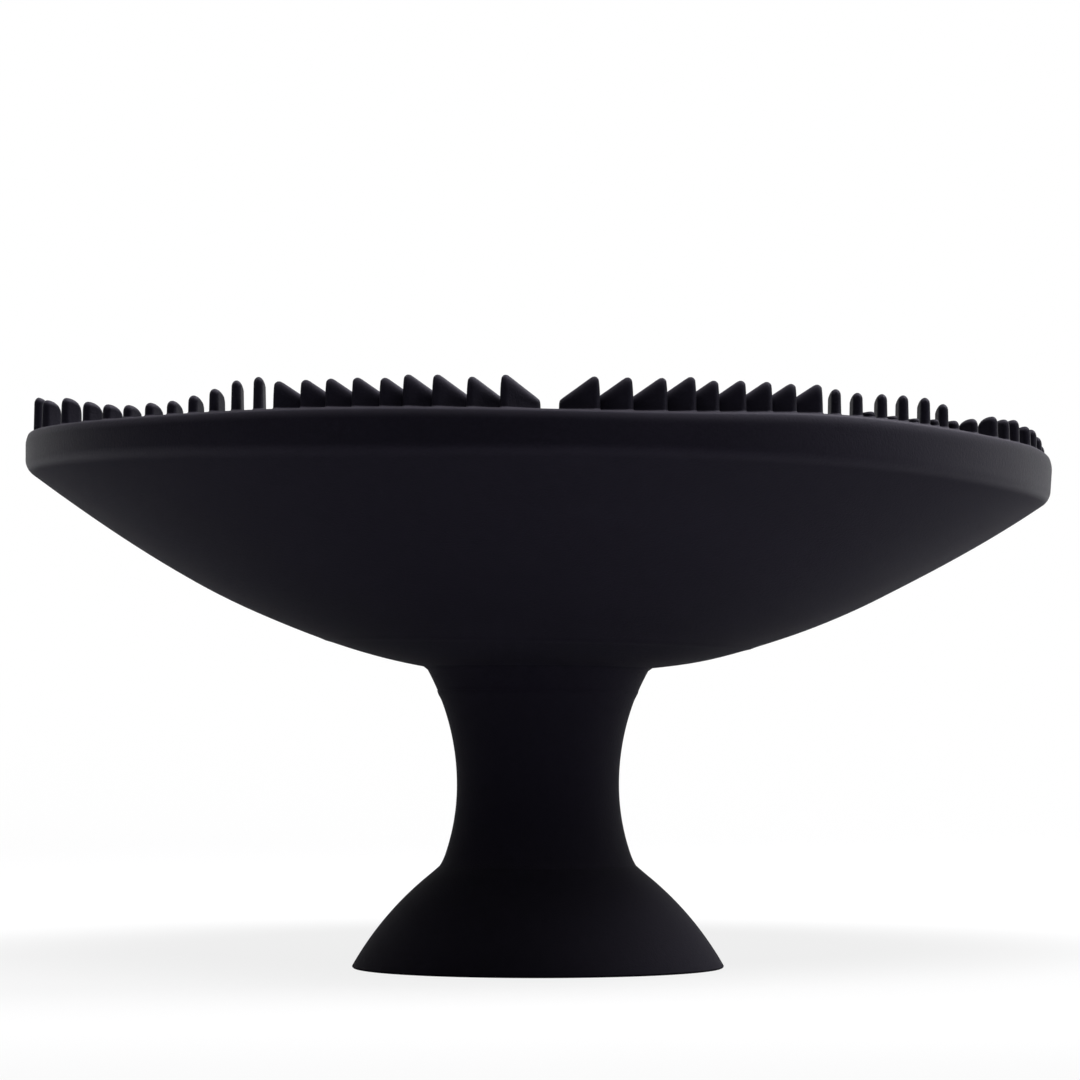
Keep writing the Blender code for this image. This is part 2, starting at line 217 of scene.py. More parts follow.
class FinSizes(bpy.types.PropertyGroup):
    """Sizes and places of the fins on the rim."""

    thickness: bpy.props.FloatProperty(
        name="Thickness",
        description="Thickness of a fin",
        default=0.0014,
        unit="LENGTH",
    )
    pin_thickness: bpy.props.FloatProperty(
        name="Pin thickness",
        description="Thickness of a pin in the comb at the sides",
        default=0.00145,
        unit="LENGTH",
    )
    pin_length: bpy.props.FloatProperty(
        name="Pin length",
        description="Length of a pin from above, along its sloping top",
        default=0.0032,
        unit="LENGTH",
    )
    pin_fall: bpy.props.FloatProperty(
        name="Pin fall",
        description="How far a pin's bowed top falls from its outer end to its inner end",
        default=0.0019,
        unit="LENGTH",
    )
    setback: bpy.props.FloatProperty(
        name="Setback",
        description="How far the fins stand in from the outside of their strip's root",
        default=-0.0002,
        unit="LENGTH",
    )
    tip: bpy.props.FloatProperty(
        name="Tip",
        description="Radius of a fin's highest corner, seen from its side",
        default=0.0008,
        unit="LENGTH",
    )
    edge_share: bpy.props.FloatProperty(
        name="Edge",
        description="Share of a fin's thickness that its rounded top takes up",
        default=0.90,
    )
    edge_depth: bpy.props.FloatProperty(
        name="Edge depth",
        description="How far the rounding of a fin's top reaches down its sides",
        default=0.0020,
        unit="LENGTH",
    )
    pin_edge_depth: bpy.props.FloatProperty(
        name="Pin edge depth",
        description="How far the rounding of a pin's top reaches down its sides",
        default=0.0008,
        unit="LENGTH",
    )
    draft: bpy.props.FloatProperty(
        name="Draft",
        description="Angle at which a fin's sides lean in towards its top",
        default=math.radians(1.2),
        subtype="ANGLE",
    )
    fillet: bpy.props.FloatProperty(
        name="Fillet",
        description="Radius of the hollow bend from a fin into the rim",
        default=0.00025,
        unit="LENGTH",
    )
    slope: bpy.props.FloatProperty(
        name="Slope",
        description="Angle at which a fin's top falls inward",
        default=math.radians(33.0),
        subtype="ANGLE",
    )
    gap: bpy.props.FloatProperty(
        name="Gap",
        description="Gap between the ends of the two strips",
        default=0.0016,
        unit="LENGTH",
    )


class BowlColours(bpy.types.PropertyGroup):
    """Colours of the bowl's materials."""

    silicone: bpy.props.FloatVectorProperty(
        name="Silicone",
        description="Colour of the black silicone",
        subtype="COLOR",
        default=(0.0052, 0.0046, 0.0082),
    )
    # Painted highlight: the paler colour given to faces of the rim and the fins that look up, standing in
    # for light from above.
    silicone_painted_highlight: bpy.props.FloatVectorProperty(
        name="Silicone painted highlight",
        description="Colour of the dull film on the upper side of the rim and the fins",
        subtype="COLOR",
        default=(0.0500, 0.0460, 0.0590),
    )
    silicone_worn: bpy.props.FloatVectorProperty(
        name="Worn silicone",
        description="Colour of the paler, handled patches of the silicone",
        subtype="COLOR",
        default=(0.0084, 0.0075, 0.0126),
    )
    zinc: bpy.props.FloatVectorProperty(
        name="Zinc",
        description="Colour of the plated screw, washer and hoop",
        subtype="COLOR",
        default=(0.55, 0.56, 0.58),
    )
    brass: bpy.props.FloatVectorProperty(
        name="Brass",
        description="Colour of the insert",
        subtype="COLOR",
        default=(0.60, 0.45, 0.18),
    )
    nylon: bpy.props.FloatVectorProperty(
        name="Nylon",
        description="Colour of the stem's core",
        subtype="COLOR",
        default=(0.16, 0.16, 0.17),
    )


class StageSettings(bpy.types.PropertyGroup):
    """Camera and backdrop."""

    camera_distance: bpy.props.FloatProperty(
        name="Camera distance",
        description="Distance from the camera to the bowl's axis",
        default=0.651,
        unit="LENGTH",
    )
    camera_height: bpy.props.FloatProperty(
        name="Camera height",
        description="Height of the camera above the floor",
        default=0.0366,
        unit="LENGTH",
    )
    camera_azimuth: bpy.props.FloatProperty(
        name="Camera azimuth",
        description="Angle by which the camera stands to the left of the fin strips' gap",
        default=math.radians(1.25),
        subtype="ANGLE",
    )
    aim_height: bpy.props.FloatProperty(
        name="Aim height",
        description="Height of the point on the axis that is in the middle of the picture",
        default=0.0624,
        unit="LENGTH",
    )
    aim_side: bpy.props.FloatProperty(
        name="Aim side",
        description="Distance of the picture's middle to the right of the axis",
        default=0.0003,
        unit="LENGTH",
    )
    lens: bpy.props.FloatProperty(
        name="Lens",
        description="Focal length on a 36 mm wide sensor, in millimetres",
        default=148.3,
    )
    backdrop: bpy.props.FloatVectorProperty(
        name="Backdrop",
        description="Colour of the floor and backdrop",
        subtype="COLOR",
        default=(0.88, 0.88, 0.89),
    )


SETTINGS = {
    "bowl_sizes": BowlSizes,
    "fin_sizes": FinSizes,
    "bowl_colours": BowlColours,
    "stage_settings": StageSettings,
}


class Value:
    """A shader socket that takes Python arithmetic. Each step adds a Math node."""

    def __init__(self, recipe, socket):
        self.recipe = recipe
        self.socket = socket

    def math(self, operation, *values):
        sockets = dict(enumerate(values))
        return self.recipe.add("ShaderNodeMath", {"operation": operation}, sockets)

    def __add__(self, other):
        return self.math("ADD", self, other)

    def __radd__(self, other):
        return self.math("ADD", other, self)

    def __sub__(self, other):
        return self.math("SUBTRACT", self, other)

    def __rsub__(self, other):
        return self.math("SUBTRACT", other, self)

    def __mul__(self, other):
        return self.math("MULTIPLY", self, other)

    def __rmul__(self, other):
        return self.math("MULTIPLY", other, self)

    def __or__(self, other):
        return self.math("MAXIMUM", self, other)

    def between(self, low, high):
        """0 below low, 1 above high and smooth from one to the other."""
        settings = {"interpolation_type": "SMOOTHSTEP"}
        return self.recipe.add("ShaderNodeMapRange", settings, {0: self, 1: low, 2: high})


class Recipe:
    """The nodes of one material or world."""

    def __init__(self, owner):
        owner.use_nodes = True
        self.tree = owner.node_tree
        self.tree.nodes.clear()

    def add(self, kind, settings=None, sockets=None, out=0):
        """One node: its settings first, then its sockets by name or place. Returns one output."""
        node = self.tree.nodes.new(kind)
        for key, value in (settings or {}).items():
            setattr(node, key, value)
        for key, value in (sockets or {}).items():
            if isinstance(value, Value):
                self.tree.links.new(value.socket, node.inputs[key])
            else:
                node.inputs[key].default_value = value
        return Value(self, node.outputs[out]) if len(node.outputs) else node

    def noise(self, where, scale, detail=2.0, roughness=0.5):
        sockets = {"Vector": where, "Scale": scale, "Detail": detail, "Roughness": roughness}
        return self.add("ShaderNodeTexNoise", None, sockets)

    def blend(self, share, first, second):
        """A colour between two colours, by share."""
        return self.add("ShaderNodeMix", {"data_type": "RGBA"}, {0: share, 6: first, 7: second}, out=2)

    def rays(self):
        """Two masks: 1 on rays from the camera, and 1 on rays that a gloss or a clear piece sends on."""
        camera = self.add("ShaderNodeLightPath")
        glossy = Value(self, camera.socket.node.outputs["Is Glossy Ray"])
        clear = Value(self, camera.socket.node.outputs["Is Transmission Ray"])
        return camera, glossy | clear

    def surface(self, shader):
        self.add("ShaderNodeOutputMaterial", None, {"Surface": shader})


def opaque(colour):
    """The colour with an alpha of 1."""
    return (*colour, 1.0)


def made_once(name, build):
    """The finish of that name, built the first time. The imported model's materials have other names."""
    material = bpy.data.materials.get(name)
    if material is None:
        material = bpy.data.materials.new(name)
        build(Recipe(material))
    return material


# Where the rim's smoother finish and its whole painted highlight begin and are complete, in from the rim
# band and down from the lip.
BAND_FINISH_AND_HIGHLIGHT = (0.0012, 0.0002)
LIP_FINISH_AND_HIGHLIGHT = (0.0030, 0.0015)
# Share of the rim's painted highlight, on faces that look up, that the other pieces carry.
PAINTED_HIGHLIGHT_ELSEWHERE = 0.15


def black_silicone(colours):
    """Matte silicone with a fine grain, paler handled patches and a painted highlight where it looks up."""

    def build(recipe):
        where = recipe.add("ShaderNodeTexCoord", out="Object")
        cloud = recipe.noise(where, scale=42.0, detail=4.0, roughness=0.6)
        grain = recipe.noise(where, scale=3200.0, detail=2.0, roughness=0.6)
        pores = recipe.noise(where, scale=1900.0, detail=3.0, roughness=0.55)
        handled = cloud.between(0.42, 0.72)
        worn = handled * 0.45 + (grain - 0.5) * 1.6 + 0.1
        base = recipe.blend(worn, opaque(colours.silicone), opaque(colours.silicone_worn))
        facing = recipe.add("ShaderNodeNewGeometry", out="Normal")
        up = recipe.add("ShaderNodeSeparateXYZ", None, {0: facing}, out="Z")
        # The rim band and the fins are smoother than the rest, and carry the whole painted highlight.
        flat = recipe.add("ShaderNodeVectorMath", {"operation": "MULTIPLY"}, {0: where, 1: (1.0, 1.0, 0.0)})
        away = recipe.add("ShaderNodeVectorMath", {"operation": "LENGTH"}, {0: flat}, out="Value")
        height = recipe.add("ShaderNodeSeparateXYZ", None, {0: where}, out="Z")
        band = away.between(RIM_RADIUS - BAND_FINISH_AND_HIGHLIGHT[0], RIM_RADIUS - BAND_FINISH_AND_HIGHLIGHT[1])
        rim = band | height.between(LIP_Z - LIP_FINISH_AND_HIGHLIGHT[0], LIP_Z - LIP_FINISH_AND_HIGHLIGHT[1])
        # Painted highlight: faces that look up are made paler, as if lit from above, most of all on the rim
        # and the fins.
        painted_highlight = up.between(0.1, 0.7) * (PAINTED_HIGHLIGHT_ELSEWHERE + (1.0 - PAINTED_HIGHLIGHT_ELSEWHERE) * rim)
        base = recipe.blend(painted_highlight, base, opaque(colours.silicone_painted_highlight))
        roughness = 0.84 - 0.30 * rim + (cloud - 0.5) * 0.10 + (grain - 0.5) * 0.16
        relief = grain * 0.6 + pores * 0.4
        bump = {"Strength": 0.60, "Distance": 0.00010, "Height": relief}
        shader = {
            "Base Color": base,
            "Roughness": roughness,
            "Specular IOR Level": 0.13,
            "Specular Tint": (0.76, 0.71, 1.0, 1.0),
            "Normal": recipe.add("ShaderNodeBump", None, bump),
        }
        recipe.surface(recipe.add("ShaderNodeBsdfPrincipled", None, shader))

    return made_once("silicone_finish", build)


def turned_metal(name, colour, roughness):
    """Metal with fine marks that run round the Z axis."""

    def build(recipe):
        where = recipe.add("ShaderNodeTexCoord", out="Object")
        stretch = {"Vector": where, "Scale": (400.0, 400.0, 9000.0)}
        along = recipe.add("ShaderNodeMapping", None, stretch)
        marks = recipe.noise(along, scale=1.0)
        tarnish = recipe.noise(where, scale=260.0, detail=4.0)
        dark = [0.62 * channel for channel in colour]
        base = recipe.blend(tarnish.between(0.35, 0.75) * 0.6, opaque(colour), opaque(dark))
        bump = {"Strength": 0.15, "Distance": 0.00003, "Height": marks}
        shader = {
            "Base Color": base,
            "Metallic": 1.0,
            "Roughness": roughness + (marks - 0.5) * 0.16,
            "Normal": recipe.add("ShaderNodeBump", None, bump),
        }
        recipe.surface(recipe.add("ShaderNodeBsdfPrincipled", None, shader))

    return made_once(name, build)


def moulded_nylon(colour):
    """Nylon with the fine spark-eroded texture of its mould."""

    def build(recipe):
        where = recipe.add("ShaderNodeTexCoord", out="Object")
        spark = recipe.noise(where, scale=2600.0, detail=3.0)
        dark = [0.8 * channel for channel in colour]
        bump = {"Strength": 0.2, "Distance": 0.00005, "Height": spark}
        shader = {
            "Base Color": recipe.blend(spark, opaque(colour), opaque(dark)),
            "Roughness": 0.5 + (spark - 0.5) * 0.2,
            "Normal": recipe.add("ShaderNodeBump", None, bump),
        }
        recipe.surface(recipe.add("ShaderNodeBsdfPrincipled", None, shader))

    return made_once("nylon_finish", build)


def arc(centre, radius, start, end, steps):
    """Points on an arc, by angle from straight down towards +X, ends included."""
    points = []
    for step in range(steps + 1):
        angle = start + (end - start) * step / steps
        points.append((centre[0] + radius * math.sin(angle), centre[1] - radius * math.cos(angle)))
    return points


def smooth_share(value, low, high):
    """0 below low, 1 above high and smooth from one to the other."""
    share = min(max((value - low) / (high - low), 0.0), 1.0)
    return share * share * (3.0 - 2.0 * share)


# How the soft dish settles. The core at the axis stays put. A reach is where a sag begins and where it is
# complete, by distance from the axis, or along X at the right. A ring is a middle and a width. What the lip
# does by itself fades out at a depth under it.
AXIS_CORE = 0.001
DROOP_REACH = (0.010, 0.040)
RIM_REACH = (0.045, 0.072)
LIP_DEPTH = 0.006
RIGHT_REACH = (0.050, 0.076)
RIGHT_SAG = 0.0009
RIGHT_BULGE = 0.0003
LIP_END_REACH = (0.068, 0.0746)
LIP_END_SAG = 0.0005
FLANK_RING = (0.056, 0.014)
FLANK_SAG = 0.0002
COLLAR_RING = (0.024, 0.008)
COLLAR_SAG = 0.0004
COLLAR_SIDE = (0.3, 1.0)

# Waves of the soft rim by sideways place, from -1 at its left to 1 at its right: middle, width, and
# how far the lip and the band's lower edge go down there.
RIM_WAVES = (
    (-0.88, 0.36, 0.00085, -0.00020),
    (0.15, 0.35, 0.0, -0.00075),
    (0.53, 0.24, -0.00093, -0.00047),
)


def hump(value, middle, width):
    """1 at the middle, and falling off smoothly on both sides."""
    return math.exp(-(((value - middle) / width) ** 2))


def settle(shape, sizes):
    """Lets the soft dish hang as a real one does: lower towards +X, with a slightly wavy rim."""
    for vert in shape.verts:
        x, y, z = vert.co
        radius = math.hypot(x, y)
        if radius < AXIS_CORE:
            continue
        sideways = x / radius
        drop = sizes.droop * x * smooth_share(radius, *DROOP_REACH)
        rim = smooth_share(radius, *RIM_REACH)
        lip = smooth_share(z, LIP_Z - LIP_DEPTH, LIP_Z)
        for middle, width, at_lip, at_edge in RIM_WAVES:
            drop += rim * hump(sideways, middle, width) * (at_edge + (at_lip - at_edge) * lip)
        right = smooth_share(x, *RIGHT_REACH)
        drop += (1.0 - 0.5 * lip) * RIGHT_SAG * right
        drop += LIP_END_SAG * lip * smooth_share(x, *LIP_END_REACH)
        drop += FLANK_SAG * hump(radius, *FLANK_RING)
        drop += COLLAR_SAG * hump(radius, *COLLAR_RING) * smooth_share(sideways, *COLLAR_SIDE)
        vert.co.x += RIGHT_BULGE * right * lip
        vert.co.z -= drop


def turned(profile, sides):
    """A closed skin from a profile of (radius, height) that is turned round Z."""
    shape = bmesh.new()
    verts = [shape.verts.new((r, 0.0, z)) for r, z in profile]
    edges = [shape.edges.new(pair) for pair in zip(verts, verts[1:])]
    if profile[0][0] > 0.0:
        edges.append(shape.edges.new((verts[-1], verts[0])))
    bmesh.ops.spin(
        shape,
        geom=verts + edges,
        cent=(0.0, 0.0, 0.0),
        axis=(0.0, 0.0, 1.0),
        angle=2 * math.pi,
        steps=sides,
        use_merge=True,
    )
    bmesh.ops.remove_doubles(shape, verts=shape.verts, dist=1e-7)
    bmesh.ops.recalc_face_normals(shape, faces=shape.faces)
    return shape


def scene_object(name, shape):
    """An object in the scene out of a shape, which is used up."""
    mesh = bpy.data.meshes.new(name)
    shape.to_mesh(mesh)
    shape.free()
    made = bpy.data.objects.new(name, mesh)
    bpy.context.scene.collection.objects.link(made)
    return made


def piece(name, shape, material, body, nodes=()):
    """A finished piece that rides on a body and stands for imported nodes."""
    made = scene_object(name, shape)
    made.data.shade_smooth()
    made.data.set_sharp_from_angle(angle=PIECE_EDGE)
    made.data.materials.append(material)
    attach(made, body)
    if nodes:
        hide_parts(*nodes)
    return made


def flare_radius(sizes, z):
    """The stem's outer radius at height z."""
    bend = sizes.upper_flare if z > sizes.waist_z else sizes.lower_flare
    return sizes.waist_radius + bend - math.sqrt(bend**2 - (z - sizes.waist_z) ** 2)


# The soft bend between stem and foot, the bead under the dish's seam and the faint line round the dish's
# underside: how far each stands out, and its reach, or its middle and width. Then the bend at the collar.
CREASE_SPREAD = 0.00018
CREASE_REACH = 0.0016
BEAD_SPREAD = 0.00012
BEAD_DEPTH = 0.0005
BEAD_WIDTH = 0.0006
LINE_SPREAD = 0.00007
LINE_RING = (0.031, 0.0006)
COLLAR_BEND = 0.0004


def crease_spread(z):
    """How far the soft bend between stem and foot stands out at height z."""
    share = max(1.0 - abs(z - FOOT_TOP) / CREASE_REACH, 0.0)
    return CREASE_SPREAD * share**2


def dish_profile(sizes):
    """The dish's section, from the middle of its floor over the rim and back under it."""
    bottom = SEAM_Z + sizes.dish_rise
    crown, flank, wall = sizes.dish_crown, sizes.dish_flank, sizes.dish_wall
    crown_centre = (0.0, bottom + crown)
    turn = math.asin(sizes.flank_start / crown)
    flank_centre = ((crown - flank) * math.sin(turn), bottom + crown - (crown - flank) * math.cos(turn))
    fillet = sizes.band_fillet
    fillet_r = RIM_RADIUS - fillet
    fillet_turn = math.asin((fillet_r - flank_centre[0]) / (flank - fillet))
    fillet_z = flank_centre[1] - (flank - fillet) * math.cos(fillet_turn)
    groove_inner = ROOT_INNER - FIT
    groove_outer = ROOT_OUTER + FIT
    lip_inner = groove_inner - sizes.inner_lip
    step_z = ROOT_BOTTOM - FIT
    channel = HOOP_WIRE + FIT
    floor_z = HOOP_LOW.z - FIT

    # Inside of the bowl, with a soft bend up into the rim's inner wall.
    bend = 0.0020
    bend_r = lip_inner - bend
    inside = flank - wall
    bend_turn = math.asin((bend_r - flank_centre[0]) / (inside - bend))
    bend_z = flank_centre[1] - (inside - bend) * math.cos(bend_turn)
    points = arc(crown_centre, crown - wall, 0.0, turn, 26)
    points += arc(flank_centre, inside, turn, bend_turn, 12)[1:]
    points += arc((bend_r, bend_z), bend, bend_turn, math.pi / 2, 8)[1:]
    edge = 0.0005
    points += arc((lip_inner + edge, LIP_Z - edge), edge, -math.pi / 2, -math.pi, 5)
    lead = 0.00015
    points += [(groove_inner - lead, LIP_Z), (groove_inner, LIP_Z - lead), (groove_inner, step_z)]
    points += [(HOOP_RADIUS - channel, step_z), (HOOP_RADIUS - channel, floor_z)]
    points += [(HOOP_RADIUS + channel, floor_z), (HOOP_RADIUS + channel, step_z)]
    points += [(groove_outer, step_z), (groove_outer, LIP_Z - lead)]
    tip, lean = sizes.lip_round, sizes.lip_lean
    tip_r = RIM_RADIUS - sizes.lip_width
    points += arc((tip_r, LIP_Z - tip), tip, math.pi, math.pi / 2 + lean, 8)
    shoulder = (sizes.lip_width - tip * math.cos(lean)) / (1.0 - math.cos(lean))
    shoulder_z = LIP_Z - tip + (tip - shoulder) * math.sin(lean)
    points += arc((RIM_RADIUS - shoulder, shoulder_z), shoulder, math.pi / 2 + lean, math.pi / 2, 8)[1:]
    points += arc((fillet_r, fillet_z), fillet, math.pi / 2, fillet_turn, 14)
    points += arc(flank_centre, flank, fillet_turn, turn, 18)[1:]

    # Underside and collar, with a narrow bend where they meet.
    collar = flare_radius(sizes, bottom)
    for _ in range(20):
        collar = flare_radius(sizes, bottom + crown - math.sqrt(crown**2 - collar**2))
    collar_z = bottom + crown - math.sqrt(crown**2 - collar**2)
    collar_turn = math.asin((collar + COLLAR_BEND) / crown)
    for r, z in arc(crown_centre, crown, turn, collar_turn, 60)[1:]:
        points.append((r, z - LINE_SPREAD * hump(r, *LINE_RING)))
    for share in (0.12, 0.3, 0.5, 0.75, 0.94):
        z = collar_z + (SEAM_Z - collar_z) * share
        points.append((flare_radius(sizes, z), z))
    points.append((flare_radius(sizes, SEAM_Z), SEAM_Z))
    bore = CORE_HIGH.x + FIT
    pocket = INSERT_HIGH.x + FIT
    points += [(bore, SEAM_Z), (bore, CORE_HIGH.z), (pocket, CORE_HIGH.z)]
    points += [(pocket, INSERT_HIGH.z + FIT), (0.0, INSERT_HIGH.z + FIT)]
    return points


class BOWL_OT_dish(bpy.types.Operator):
    """Make the silicone dish with its rim band and collar"""

    bl_idname = "bowl.dish"
    bl_label = "Dish"

    def execute(self, context):
        sizes = context.scene.bowl_sizes
        shape = turned(dish_profile(sizes), ROUND_DISH)
        settle(shape, sizes)
        dish = piece("dish", shape, black_silicone(context.scene.bowl_colours), "bowl", ["bowl_dish"])
        return {"FINISHED"}


# Louvres from the front gap out, in degrees and millimetres: azimuth, length, height on the left strip
# and height on the right one. Their yaw is the angle of their length to the line to the axis.
LOUVRES = (
    (4.61, 5.8, 4.38, 4.41),
    (8.06, 5.6, 4.06, 4.39),
    (11.66, 5.6, 4.29, 4.42),
    (14.75, 5.6, 4.29, 4.60),
    (17.26, 4.7, 3.87, 4.15),
    (20.28, 4.7, 3.93, 4.17),
    (23.27, 4.7, 3.86, 4.05),
    (26.15, 4.7, 3.78, 3.85),
    (29.37, 4.7, 3.71, 3.89),
)
LOUVRE_YAW = 60.0

# Pins past the louvres, in degrees and millimetres: azimuth, height, and the angle of their length to the
# line from front to back.
LEFT_PINS = (
    (31.84, 4.42, 8),
    (34.67, 4.10, 8),
    (37.63, 3.15, 22),
    (40.60, 2.44, 22),
    (43.81, 1.93, 24),
    (47.37, 1.88, 34),
    (51.23, 1.82, 36),
    (55.31, 2.17, 48),
    (59.91, 2.82, 50),
    (66.08, 3.75, 52),
    (74.3, 4.00, 45),
    (86.5, 5.35, 30),
)
# The low ones fill the gaps between the first pins.
RIGHT_PINS = (
    (31.70, 3.44, 8),
    (34.60, 3.20, 8),
    (36.3, 0.85, 45),
    (38.05, 3.40, 8),
    (39.6, 0.62, 45),
    (41.25, 3.62, 8),
    (43.0, 0.70, 45),
    (44.75, 3.74, 8),
    (46.3, 1.00, 45),
    (47.90, 3.30, 8),
    (49.9, 1.30, 45),
    (53.71, 2.05, 45),
    (58.35, 2.95, 45),
    (61.57, 2.93, 40),
    (64.68, 3.22, 40),
    (69.17, 2.78, 40),
    (72.48, 2.72, 40),
    (76.58, 2.20, 40),
    (81.5, 1.60, 40),
    (87.0, 1.30, 40),
)

# The most of a pin's height that its top falls by, and the share of its length where its bow ends.
MOST_FALL = 0.9
BOW_END = 0.98

# Steps round a fin's two ends, up the fillet at its root and over its rounded top.
OUTER_END_STEPS = 12
INNER_END_STEPS = 6
FILLET_STEPS = 3
TOP_STEPS = 9

# How deep a fin goes into its strip's root, its lowest top, and half of its thinnest edge.
FIN_ROOT = 0.0008
FIN_LOWEST = 0.0003
FIN_THINNEST = 0.00004
# The most of a fin's height there that the fillet and the rounded top take up, and how far its ends
# follow the rounding, as a share of how far its sides do.
MOST_FILLET = 0.3
MOST_ROUND = 0.6
END_ROUND = 0.15

# Angles in radians and sizes in metres. A fin with no fall has a straight sloping top.
Fin = namedtuple("Fin", "azimuth yaw length height thickness depth fall")


def fin_rows(sizes, side):
    """The fins of a quarter of the rim."""
    fins = []
    for azimuth, length, left, right in LOUVRES:
        height = (left if side < 0 else right) / 1000
        place = (math.radians(azimuth), math.radians(LOUVRE_YAW), length / 1000, height)
        fins.append(Fin(*place, sizes.thickness, sizes.edge_depth, 0.0))
    for azimuth, height, turn in LEFT_PINS if side < 0 else RIGHT_PINS:
        place = (math.radians(azimuth), math.radians(turn - azimuth), sizes.pin_length, height / 1000)
        fall = min(sizes.pin_fall, MOST_FALL * height / 1000)
        fins.append(Fin(*place, sizes.pin_thickness, sizes.pin_edge_depth, fall))
    return fins


def top_height(sizes, along, fin):
    """Height of a fin's top edge at a distance along it from its upright outer end."""
    tip = min(sizes.tip, fin.height / 2)
    turn_end = tip if fin.fall else tip + tip * math.sin(sizes.slope)
    if along <= turn_end:
        reach = max(along, 0.0) - tip
        return fin.height - tip + math.sqrt(max(tip**2 - reach**2, 0.0))
    if fin.fall:
        share = min((along - tip) / (fin.length - tip), BOW_END)
        return fin.height - fin.fall * (1.0 - math.sqrt(1.0 - share**2))
    start = fin.height - tip + tip * math.cos(sizes.slope)
    return start - (along - turn_end) * math.tan(sizes.slope)


def fin_plan(length, half):
    """A fin from above, a slot with round ends: (middle of its bend, direction along, direction across)."""
    points = []
    for step in range(OUTER_END_STEPS + 1):
        angle = math.pi / 2 + math.pi * step / OUTER_END_STEPS
        points.append((half, math.cos(angle), math.sin(angle)))
    stretch = length - 2 * half
    sides = [half + stretch * share for share in (0.08, 0.2, 0.4, 0.6, 0.8, 0.95)]
    points += [(u, 0.0, -1.0) for u in sides]
    for step in range(INNER_END_STEPS + 1):
        angle = -math.pi / 2 + math.pi * step / INNER_END_STEPS
        points.append((length - half, math.cos(angle), math.sin(angle)))
    points += [(u, 0.0, 1.0) for u in reversed(sides)]
    return points


def fin_loops(sizes, fin):
    """Outlines of a fin from its root up, as loops of (along, across, height above the lip)."""
    half = fin.thickness / 2
    edge = half * sizes.edge_share
    draft = math.tan(sizes.draft)
    plan = fin_plan(fin.length, half)

    def loop(inset, rise, end_inset):
        """One outline, drawn in by an inset, where rise gives its height from the top's height there."""
        points = []
        for middle, along, across in plan:
            top = max(top_height(sizes, middle + (half - end_inset) * along, fin), FIN_LOWEST)
            z = rise(top)
            lean = draft * max(z, 0.0)
            end = max(half - end_inset - lean, FIN_THINNEST)
            radius = max(half - inset - lean, FIN_THINNEST)
            points.append((middle + end * along, radius * across, z))
        return points

    fillet = sizes.fillet
    loops = [loop(-fillet, lambda top: -FIN_ROOT, -fillet)]
    for step in range(FILLET_STEPS + 1):
        angle = math.pi / 2 * step / FILLET_STEPS
        level = fillet * (1 - math.cos(angle))
        spread = -fillet * (1 - math.sin(angle))
        loops.append(loop(spread, lambda top: min(level, MOST_FILLET * top), spread))
    for step in range(TOP_STEPS + 1):
        angle = math.pi / 2 * step / TOP_STEPS
        drop = 1 - math.sin(angle)
        inset = edge * (1 - math.cos(angle))
        # The round is shallower where the fin is low, and its ends stay almost upright.
        loops.append(
            loop(inset, lambda top: top - min(fin.depth, MOST_ROUND * top) * drop, END_ROUND * inset)
        )
    return loops


def loft(shape, loops):
    """A closed skin through loops of points."""
    rings = [[shape.verts.new(point) for point in loop] for loop in loops]
    count = len(loops[0])
    for low, high in zip(rings, rings[1:]):
        for i in range(count):
            j = (i + 1) % count
            shape.faces.new((low[i], low[j], high[j], high[i]))
    shape.faces.new(list(reversed(rings[0])))
    shape.faces.new(rings[-1])


def add_fin(shape, sizes, fin, side, half):
    """Adds one fin to a shape. Side is 1 on the right strip, and half is 1 on its front half."""
    inward = Vector((-side * math.sin(fin.azimuth), half * math.cos(fin.azimuth), 0.0))
    to_gap = Vector((-side * math.cos(fin.azimuth), -half * math.sin(fin.azimuth), 0.0))
    along = inward * math.cos(fin.yaw) + to_gap * math.sin(fin.yaw)
    across = Vector((-along.y, along.x, 0.0))
    # The azimuth is that of the middle of the fin's round outer end, which touches the strip's outside.
    reach = ROOT_OUTER - sizes.setback - fin.thickness / 2
    foot = along * (-fin.thickness / 2) - inward * reach + Vector((0.0, 0.0, LIP_Z))
    loops = []
    for loop in fin_loops(sizes, fin):
        loops.append([foot + along * u + across * v + Vector((0.0, 0.0, z)) for u, v, z in loop])
    loft(shape, loops)


# Shares of the clearance in the rim's groove that the soft root fills, how far its top lies under the lip,
# and the bevel along its upper edges.
ROOT_FILL_OUTER = 0.9
ROOT_FILL_INNER = 0.5
ROOT_SINK = 0.0001
ROOT_EDGE = 0.0003


def strip_root(sizes, side):
    """The strip's root: half a ring with bevelled upper edges that fills the rim's groove."""
    outer = ROOT_OUTER + FIT * ROOT_FILL_OUTER
    inner = ROOT_INNER - FIT * ROOT_FILL_INNER
    top = LIP_Z - ROOT_SINK
    section = [(inner, ROOT_BOTTOM), (inner, top - ROOT_EDGE), (inner + ROOT_EDGE, top)]
    section += [(outer - ROOT_EDGE, top), (outer, top - ROOT_EDGE), (outer, ROOT_BOTTOM)]
    start = math.asin(sizes.gap / 2 / HOOP_RADIUS)
    shape = bmesh.new()
    loops = []
    for step in range(ROOT_STEPS + 1):
        angle = start + (math.pi - 2 * start) * step / ROOT_STEPS
        loops.append([(side * r * math.sin(angle), -r * math.cos(angle), z) for r, z in section])
    loft(shape, loops)
    bmesh.ops.recalc_face_normals(shape, faces=shape.faces)
    return shape


